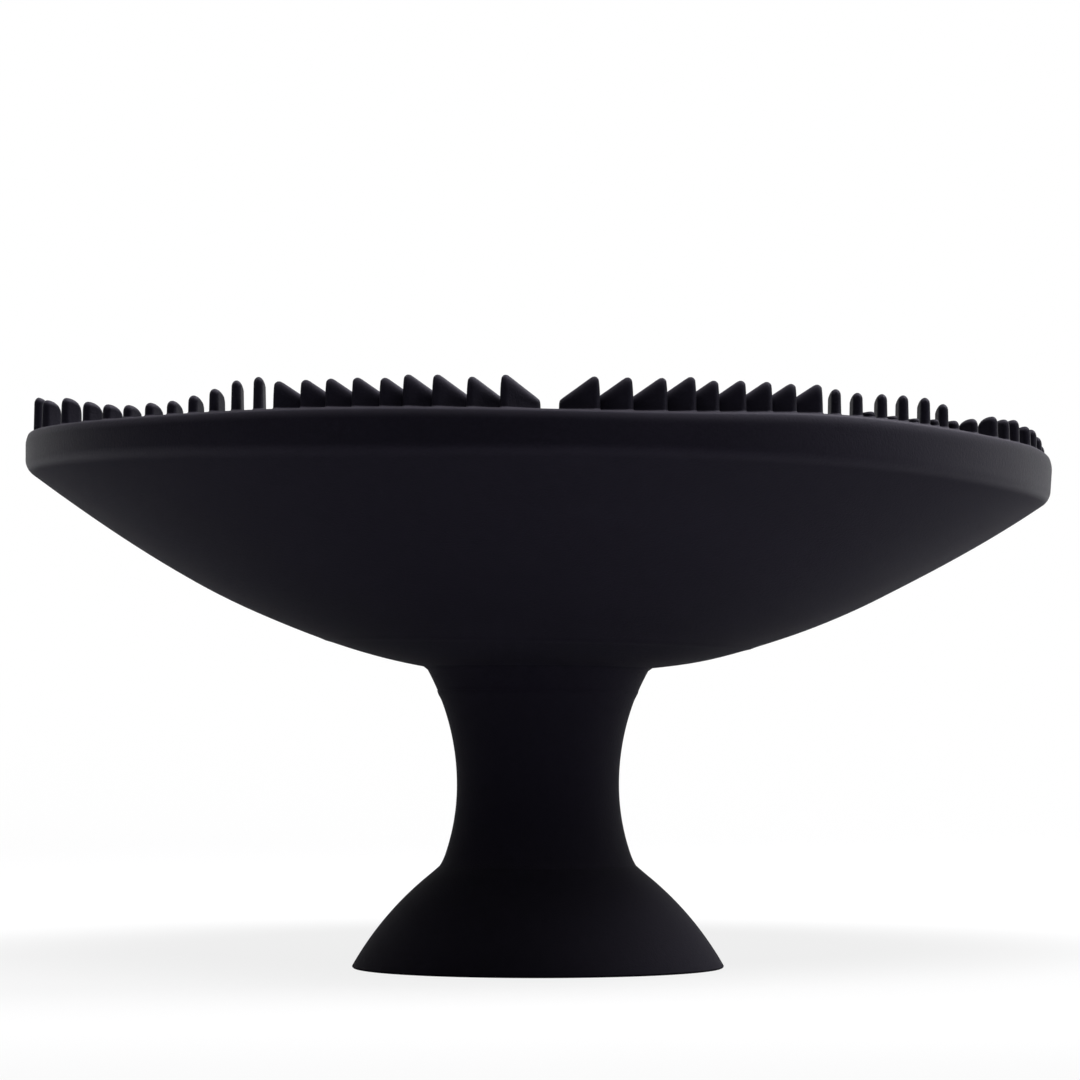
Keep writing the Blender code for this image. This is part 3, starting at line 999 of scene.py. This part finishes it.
def joined(first, others):
    """One closed skin out of a shape and others that run into it."""
    base = scene_object("joined", first)
    tools = []
    for other in others:
        bmesh.ops.recalc_face_normals(other, faces=other.faces)
        tool = scene_object("tool", other)
        tools.append(tool)
        union = base.modifiers.new("union", "BOOLEAN")
        union.operation = "UNION"
        union.solver = "MANIFOLD"
        union.object = tool
    ready = base.evaluated_get(bpy.context.evaluated_depsgraph_get())
    shape = bmesh.new()
    shape.from_mesh(ready.to_mesh())
    for item in [base, *tools]:
        bpy.data.objects.remove(item, do_unlink=True)
    return shape


def comb_strip(context, name, side, node):
    """Makes one strip of fins, with its rear half the mirror of its front half."""
    sizes = context.scene.fin_sizes
    # Neighbours share a fillet, so every other fin goes into its own set.
    sets = [bmesh.new(), bmesh.new()]
    for half in (1, -1):
        for i, fin in enumerate(fin_rows(sizes, side)):
            add_fin(sets[i % 2], sizes, fin, side, half)
    shape = joined(strip_root(sizes, side), sets)
    settle(shape, context.scene.bowl_sizes)
    strip = piece(name, shape, black_silicone(context.scene.bowl_colours), "bowl", [node])


class BOWL_OT_fins(bpy.types.Operator):
    """Make the two strips of fins on the rim"""

    bl_idname = "bowl.fins"
    bl_label = "Fin strips"

    def execute(self, context):
        comb_strip(context, "fin_strip_left", -1, "comb_strip_left")
        comb_strip(context, "fin_strip_right", 1, "comb_strip_right")
        return {"FINISHED"}


class BOWL_OT_stem(bpy.types.Operator):
    """Make the waisted silicone sleeve of the stem"""

    bl_idname = "bowl.stem"
    bl_label = "Stem sleeve"

    def execute(self, context):
        sizes = context.scene.bowl_sizes
        top, bottom = SEAM_Z, FOOT_TOP
        bore = CORE_HIGH.x + FIT
        steps = 96
        points = []
        for step in range(steps + 1):
            z = top + (bottom - top) * step / steps
            bead = BEAD_SPREAD * hump(z, top - BEAD_DEPTH, BEAD_WIDTH)
            points.append((flare_radius(sizes, z) + bead + crease_spread(z), z))
        points += [(bore, bottom), (bore, top)]
        silicone = black_silicone(context.scene.bowl_colours)
        sleeve = piece("sleeve", turned(points, ROUND_STEM), silicone, "bowl", ["stem_sleeve"])
        return {"FINISHED"}


def bell_side(sizes, edge, steps):
    """The foot's convex side, from the crease under the stem down to its edge."""
    start = Vector((flare_radius(sizes, FOOT_TOP), FOOT_TOP))
    end = Vector((FOOT_HIGH.x, edge))
    chord = end - start
    inward = Vector((chord.y, -chord.x)).normalized()
    reach = math.sqrt(sizes.foot_bulge**2 - (chord.length / 2) ** 2)
    centre = (start + end) / 2 + inward * reach
    angles = [math.atan2(point.x - centre.x, centre.y - point.y) for point in (start, end)]
    return arc(centre, sizes.foot_bulge, angles[0], angles[1], steps)


class BOWL_OT_foot(bpy.types.Operator):
    """Make the bell of the suction foot and the stud that holds it in the stem"""

    bl_idname = "bowl.foot"
    bl_label = "Suction foot"

    def execute(self, context):
        sizes = context.scene.bowl_sizes
        silicone = black_silicone(context.scene.bowl_colours)
        edge = 0.0003
        cup_radius = FOOT_HIGH.x - edge - sizes.cup_lip
        cup_curve = (cup_radius**2 + sizes.cup_depth**2) / (2 * sizes.cup_depth)
        cup_turn = math.asin(cup_radius / cup_curve)
        side = bell_side(sizes, edge, 72)
        points = [(0.0, FOOT_TOP)] + [(r + crease_spread(z), z) for r, z in side]
        points += arc((FOOT_HIGH.x - edge, edge), edge, math.pi / 2, 0.0, 5)[1:]
        cup_centre = (0.0, sizes.cup_depth - cup_curve)
        points += arc(cup_centre, cup_curve, math.pi - cup_turn, math.pi, 24)
        bell = piece("foot_bell", turned(points, ROUND_STEM), silicone, "foot", ["suction_foot"])
        keep = (FOOT_TOP - PRESS_TRAVEL) / FOOT_TOP
        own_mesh(bell)

        # The stud sits in the core, so it goes down with the bowl.
        neck, head, ledge = 0.0035, 0.0050, 0.0037
        chamfer = 0.0012
        belly = 0.35 * chamfer
        head_z = CORE_LOW.z + ledge + FIT
        top = FOOT_HIGH.z
        stud = [(0.0, top), (head - chamfer, top), (head - belly, top - belly)]
        stud += [(head, top - chamfer), (head, head_z), (neck, head_z), (neck, FOOT_TOP), (0.0, FOOT_TOP)]
        held = piece("foot_stud", turned(stud, ROUND_STUD), silicone, "bowl")
        return {"FINISHED"}


class BOWL_OT_fittings(bpy.types.Operator):
    """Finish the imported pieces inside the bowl"""

    bl_idname = "bowl.fittings"
    bl_label = "Inner fittings"

    def execute(self, context):
        colours = context.scene.bowl_colours
        zinc = turned_metal("zinc_finish", colours.zinc, roughness=0.34)
        finishes = {
            "clamp_screw": zinc,
            "screw_washer": zinc,
            "dish_insert": turned_metal("brass_finish", colours.brass, roughness=0.3),
            "stem_core": moulded_nylon(colours.nylon),
        }
        for node, material in finishes.items():
            mesh = frame["nodes"][node].data
            mesh.materials.clear()
            mesh.materials.append(material)
            mesh.shade_smooth()
            mesh.set_sharp_from_angle(angle=FITTING_EDGE)

        # The hoop follows the droop of the rim that it lies in.
        ring = arc((HOOP_RADIUS, HOOP_LOW.z + HOOP_WIRE), HOOP_WIRE, math.pi, -math.pi, 16)[:-1]
        shape = turned(ring, ROUND_DISH)
        settle(shape, context.scene.bowl_sizes)
        hoop = piece("hoop", shape, zinc, "bowl", ["rim_hoop"])
        return {"FINISHED"}


WHITE = (1.0, 1.0, 1.0)
# The paper's share of plain white to the camera on the floor round the bowl. The rest is light and shade.
PAPER_WHITE = 0.85
# The paper's colour to bounced light where shade is painted on it.
PAPER_SHADE = (0.05, 0.05, 0.05)
# Middle of the bowl's painted shadow on the floor under it.
SHADOW_SPOT = (0.0, 0.06, 0.0)


def backdrop_paper(colour):
    """Paper that the camera sees as white, with the bowl's shadow on the floor.

    Bounced light finds painted shade on it in front of the bowl, and the bowl's painted shadow in a spot
    under the bowl.
    """

    def build(recipe):
        camera, reflected = recipe.rays()
        where = recipe.add("ShaderNodeTexCoord", out="Object")
        depth = recipe.add("ShaderNodeSeparateXYZ", None, {0: where}, out="Y")
        behind = depth.between(0.50, 0.90)
        front = 1.0 - depth.between(-0.30, -0.10)
        ends = {0: where, 1: SHADOW_SPOT}
        away = recipe.add("ShaderNodeVectorMath", {"operation": "DISTANCE"}, ends, out="Value")
        # Painted shadow in a spot under the bowl and painted shade in front of it, in the paper's colour to
        # bounced light.
        under = 1.0 - away.between(0.05, 0.12)
        tone = recipe.blend(front | under, opaque(colour), opaque(PAPER_SHADE))
        paper = recipe.add("ShaderNodeBsdfDiffuse", None, {"Color": tone})
        white = recipe.add("ShaderNodeEmission", None, {"Color": opaque(WHITE), "Strength": 1.0})
        plain = PAPER_WHITE + (1.0 - PAPER_WHITE) * (behind | front)
        share = camera * plain | reflected * behind
        recipe.surface(recipe.add("ShaderNodeMixShader", None, {0: share, 1: paper, 2: white}))

    return made_once("backdrop_paper", build)


def stage_mesh(name, shape, material):
    """Something of the studio that isn't part of the bowl."""
    made = scene_object(name, shape)
    made.data.shade_smooth()
    made.data.materials.append(material)
    return made


def area_lamp(name, place, target, size, strength):
    """A soft box at place that faces target. Strength is its brightness, where 1 is white."""
    lamp = bpy.data.lights.new(name, "AREA")
    lamp.shape = "RECTANGLE"
    lamp.size, lamp.size_y = size
    lamp.energy = strength * math.pi * size[0] * size[1]
    made = bpy.data.objects.new(name, lamp)
    made.location = place
    made.rotation_euler = (Vector(target) - Vector(place)).to_track_quat("-Z", "Y").to_euler()
    bpy.context.scene.collection.objects.link(made)


# Soft boxes, which all face one point on the axis: name, place, width and height, and brightness.
LAMPS = (
    ("top_box", (0.0, -0.15, 1.0), (1.6, 0.6), 2.2),
    ("right_box", (0.76, 0.13, 0.86), (0.8, 0.3), 14.5),
    ("left_box", (-0.65, 0.25, 0.95), (0.6, 0.4), 2.4),
    ("right_fill", (1.0, 0.5, 0.22), (0.9, 0.5), 0.9),
    ("front_fill", (0.0, -0.9, 0.2), (0.9, 0.12), 1.5),
)
LAMP_TARGET = (0.0, 0.0, 0.05)

# Cards that keep light off the bowl: name, grey, place, the point that they face, width and height.
CARDS = (
    ("dark_card", 0.02, (0.0, -1.1, 0.5), (0.0, 0.0, 0.5), 2.4, 1.0),
    ("dark_hood", 0.2, (0.0, -0.68, 0.30), (0.0, -0.68, 0.0), 1.1, 0.84),
    ("grey_card", 0.12, (-1.1, 0.0, 0.5), (0.0, 0.0, 0.5), 1.4, 1.0),
)

# The room round the stage: what lights the bowl, and the ceiling that the camera and reflections see.
ROOM = (0.24, 0.24, 0.25)
CEILING = (0.22, 0.22, 0.22)


class BOWL_OT_stage(bpy.types.Operator):
    """Make the floor, backdrop, lamps and camera"""

    bl_idname = "bowl.stage"
    bl_label = "Stage"

    def execute(self, context):
        settings = context.scene.stage_settings
        paper = backdrop_paper(settings.backdrop)
        self.sweep(paper)
        for card in CARDS:
            self.card(*card)
        for name, place, size, strength in LAMPS:
            area_lamp(name, place, LAMP_TARGET, size, strength)
        self.room(context)
        self.camera(context, settings)
        context.scene.view_settings.view_transform = "Standard"
        return {"FINISHED"}

    def sweep(self, paper):
        """A floor that bends up into a wall behind the bowl."""
        back, bend, top, half_width, front = 1.1, 0.4, 0.5, 4.0, -4.0
        line = [(front, 0.0), (back - bend, 0.0)]
        line += arc((back - bend, bend), bend, 0.0, math.pi / 2, 16)[1:]
        line.append((back, top))
        shape = bmesh.new()
        rows = [[shape.verts.new((x, y, z)) for y, z in line] for x in (-half_width, half_width)]
        for i in range(len(line) - 1):
            shape.faces.new((rows[0][i], rows[1][i], rows[1][i + 1], rows[0][i + 1]))
        stage_mesh("paper_sweep", shape, paper)

    def card(self, name, grey, place, facing, width, height):
        """A card at place that faces a point. The camera doesn't see it."""

        def build(recipe):
            recipe.surface(recipe.add("ShaderNodeBsdfDiffuse", None, {"Color": opaque([grey] * 3)}))

        shape = bmesh.new()
        turn = (Vector(facing) - Vector(place)).to_track_quat("Z", "Y").to_matrix().to_4x4()
        scale = Matrix.Diagonal((width, height, 1.0, 1.0))
        bmesh.ops.create_grid(shape, size=0.5, matrix=Matrix.Translation(place) @ turn @ scale)
        card = stage_mesh(name, shape, made_once(name, build))
        card.visible_camera = False

    def room(self, context):
        """A dim room that is white at the height of the backdrop to the camera and in reflections."""
        world = context.scene.world or bpy.data.worlds.new("studio")
        context.scene.world = world
        recipe = Recipe(world)
        camera, reflected = recipe.rays()
        where = recipe.add("ShaderNodeTexCoord", out="Generated")
        rise = recipe.add("ShaderNodeSeparateXYZ", None, {0: where}, out="Z")
        ceiling = rise.between(0.08, 0.35)
        wall = recipe.blend(ceiling, opaque(WHITE), opaque(CEILING))
        dim = recipe.add("ShaderNodeBackground", None, {"Color": opaque(ROOM)})
        bright = recipe.add("ShaderNodeBackground", None, {"Color": wall})
        mixed = recipe.add("ShaderNodeMixShader", None, {0: camera | reflected, 1: dim, 2: bright})
        recipe.add("ShaderNodeOutputWorld", None, {"Surface": mixed})

    def camera(self, context, settings):
        """A camera in front of the bowl, at the height of its stem."""
        lens = bpy.data.cameras.new("camera")
        lens.lens = settings.lens
        lens.sensor_width = 36.0
        lens.clip_start, lens.clip_end = 0.01, 20.0
        made = bpy.data.objects.new("camera", lens)
        turn = settings.camera_azimuth
        back = Vector((-math.sin(turn), -math.cos(turn), 0.0))
        right = Vector((math.cos(turn), -math.sin(turn), 0.0))
        made.location = back * settings.camera_distance + Vector((0.0, 0.0, settings.camera_height))
        aim = right * settings.aim_side + Vector((0.0, 0.0, settings.aim_height))
        made.rotation_euler = (aim - made.location).to_track_quat("-Z", "Y").to_euler()
        context.scene.collection.objects.link(made)
        context.scene.camera = made


class BOWL_PT_panel(bpy.types.Panel):
    """Lists the bowl's pieces and settings"""

    bl_idname = "BOWL_PT_panel"
    bl_label = "Hair Color Bowl"
    bl_space_type = "VIEW_3D"
    bl_region_type = "UI"
    bl_category = "Bowl"

    def draw(self, context):
        for operator in OPERATORS:
            self.layout.operator(operator.bl_idname)
        for name, group in SETTINGS.items():
            box = self.layout.box()
            settings = getattr(context.scene, name)
            for key in group.__annotations__:
                box.prop(settings, key)


OPERATORS = (BOWL_OT_dish, BOWL_OT_fins, BOWL_OT_stem, BOWL_OT_foot, BOWL_OT_fittings, BOWL_OT_stage)
CLASSES = (*SETTINGS.values(), *OPERATORS, BOWL_PT_panel)


def register():
    for item in CLASSES:
        bpy.utils.register_class(item)
    for name, group in SETTINGS.items():
        setattr(bpy.types.Scene, name, bpy.props.PointerProperty(type=group))


def unregister():
    for name in SETTINGS:
        delattr(bpy.types.Scene, name)
    for item in reversed(CLASSES):
        bpy.utils.unregister_class(item)


def main():
    register()
    bpy.ops.bowl.dish()
    bpy.ops.bowl.fins()
    bpy.ops.bowl.stem()
    bpy.ops.bowl.foot()
    bpy.ops.bowl.fittings()
    bpy.ops.bowl.stage()


if __name__ == "__main__":
    main()
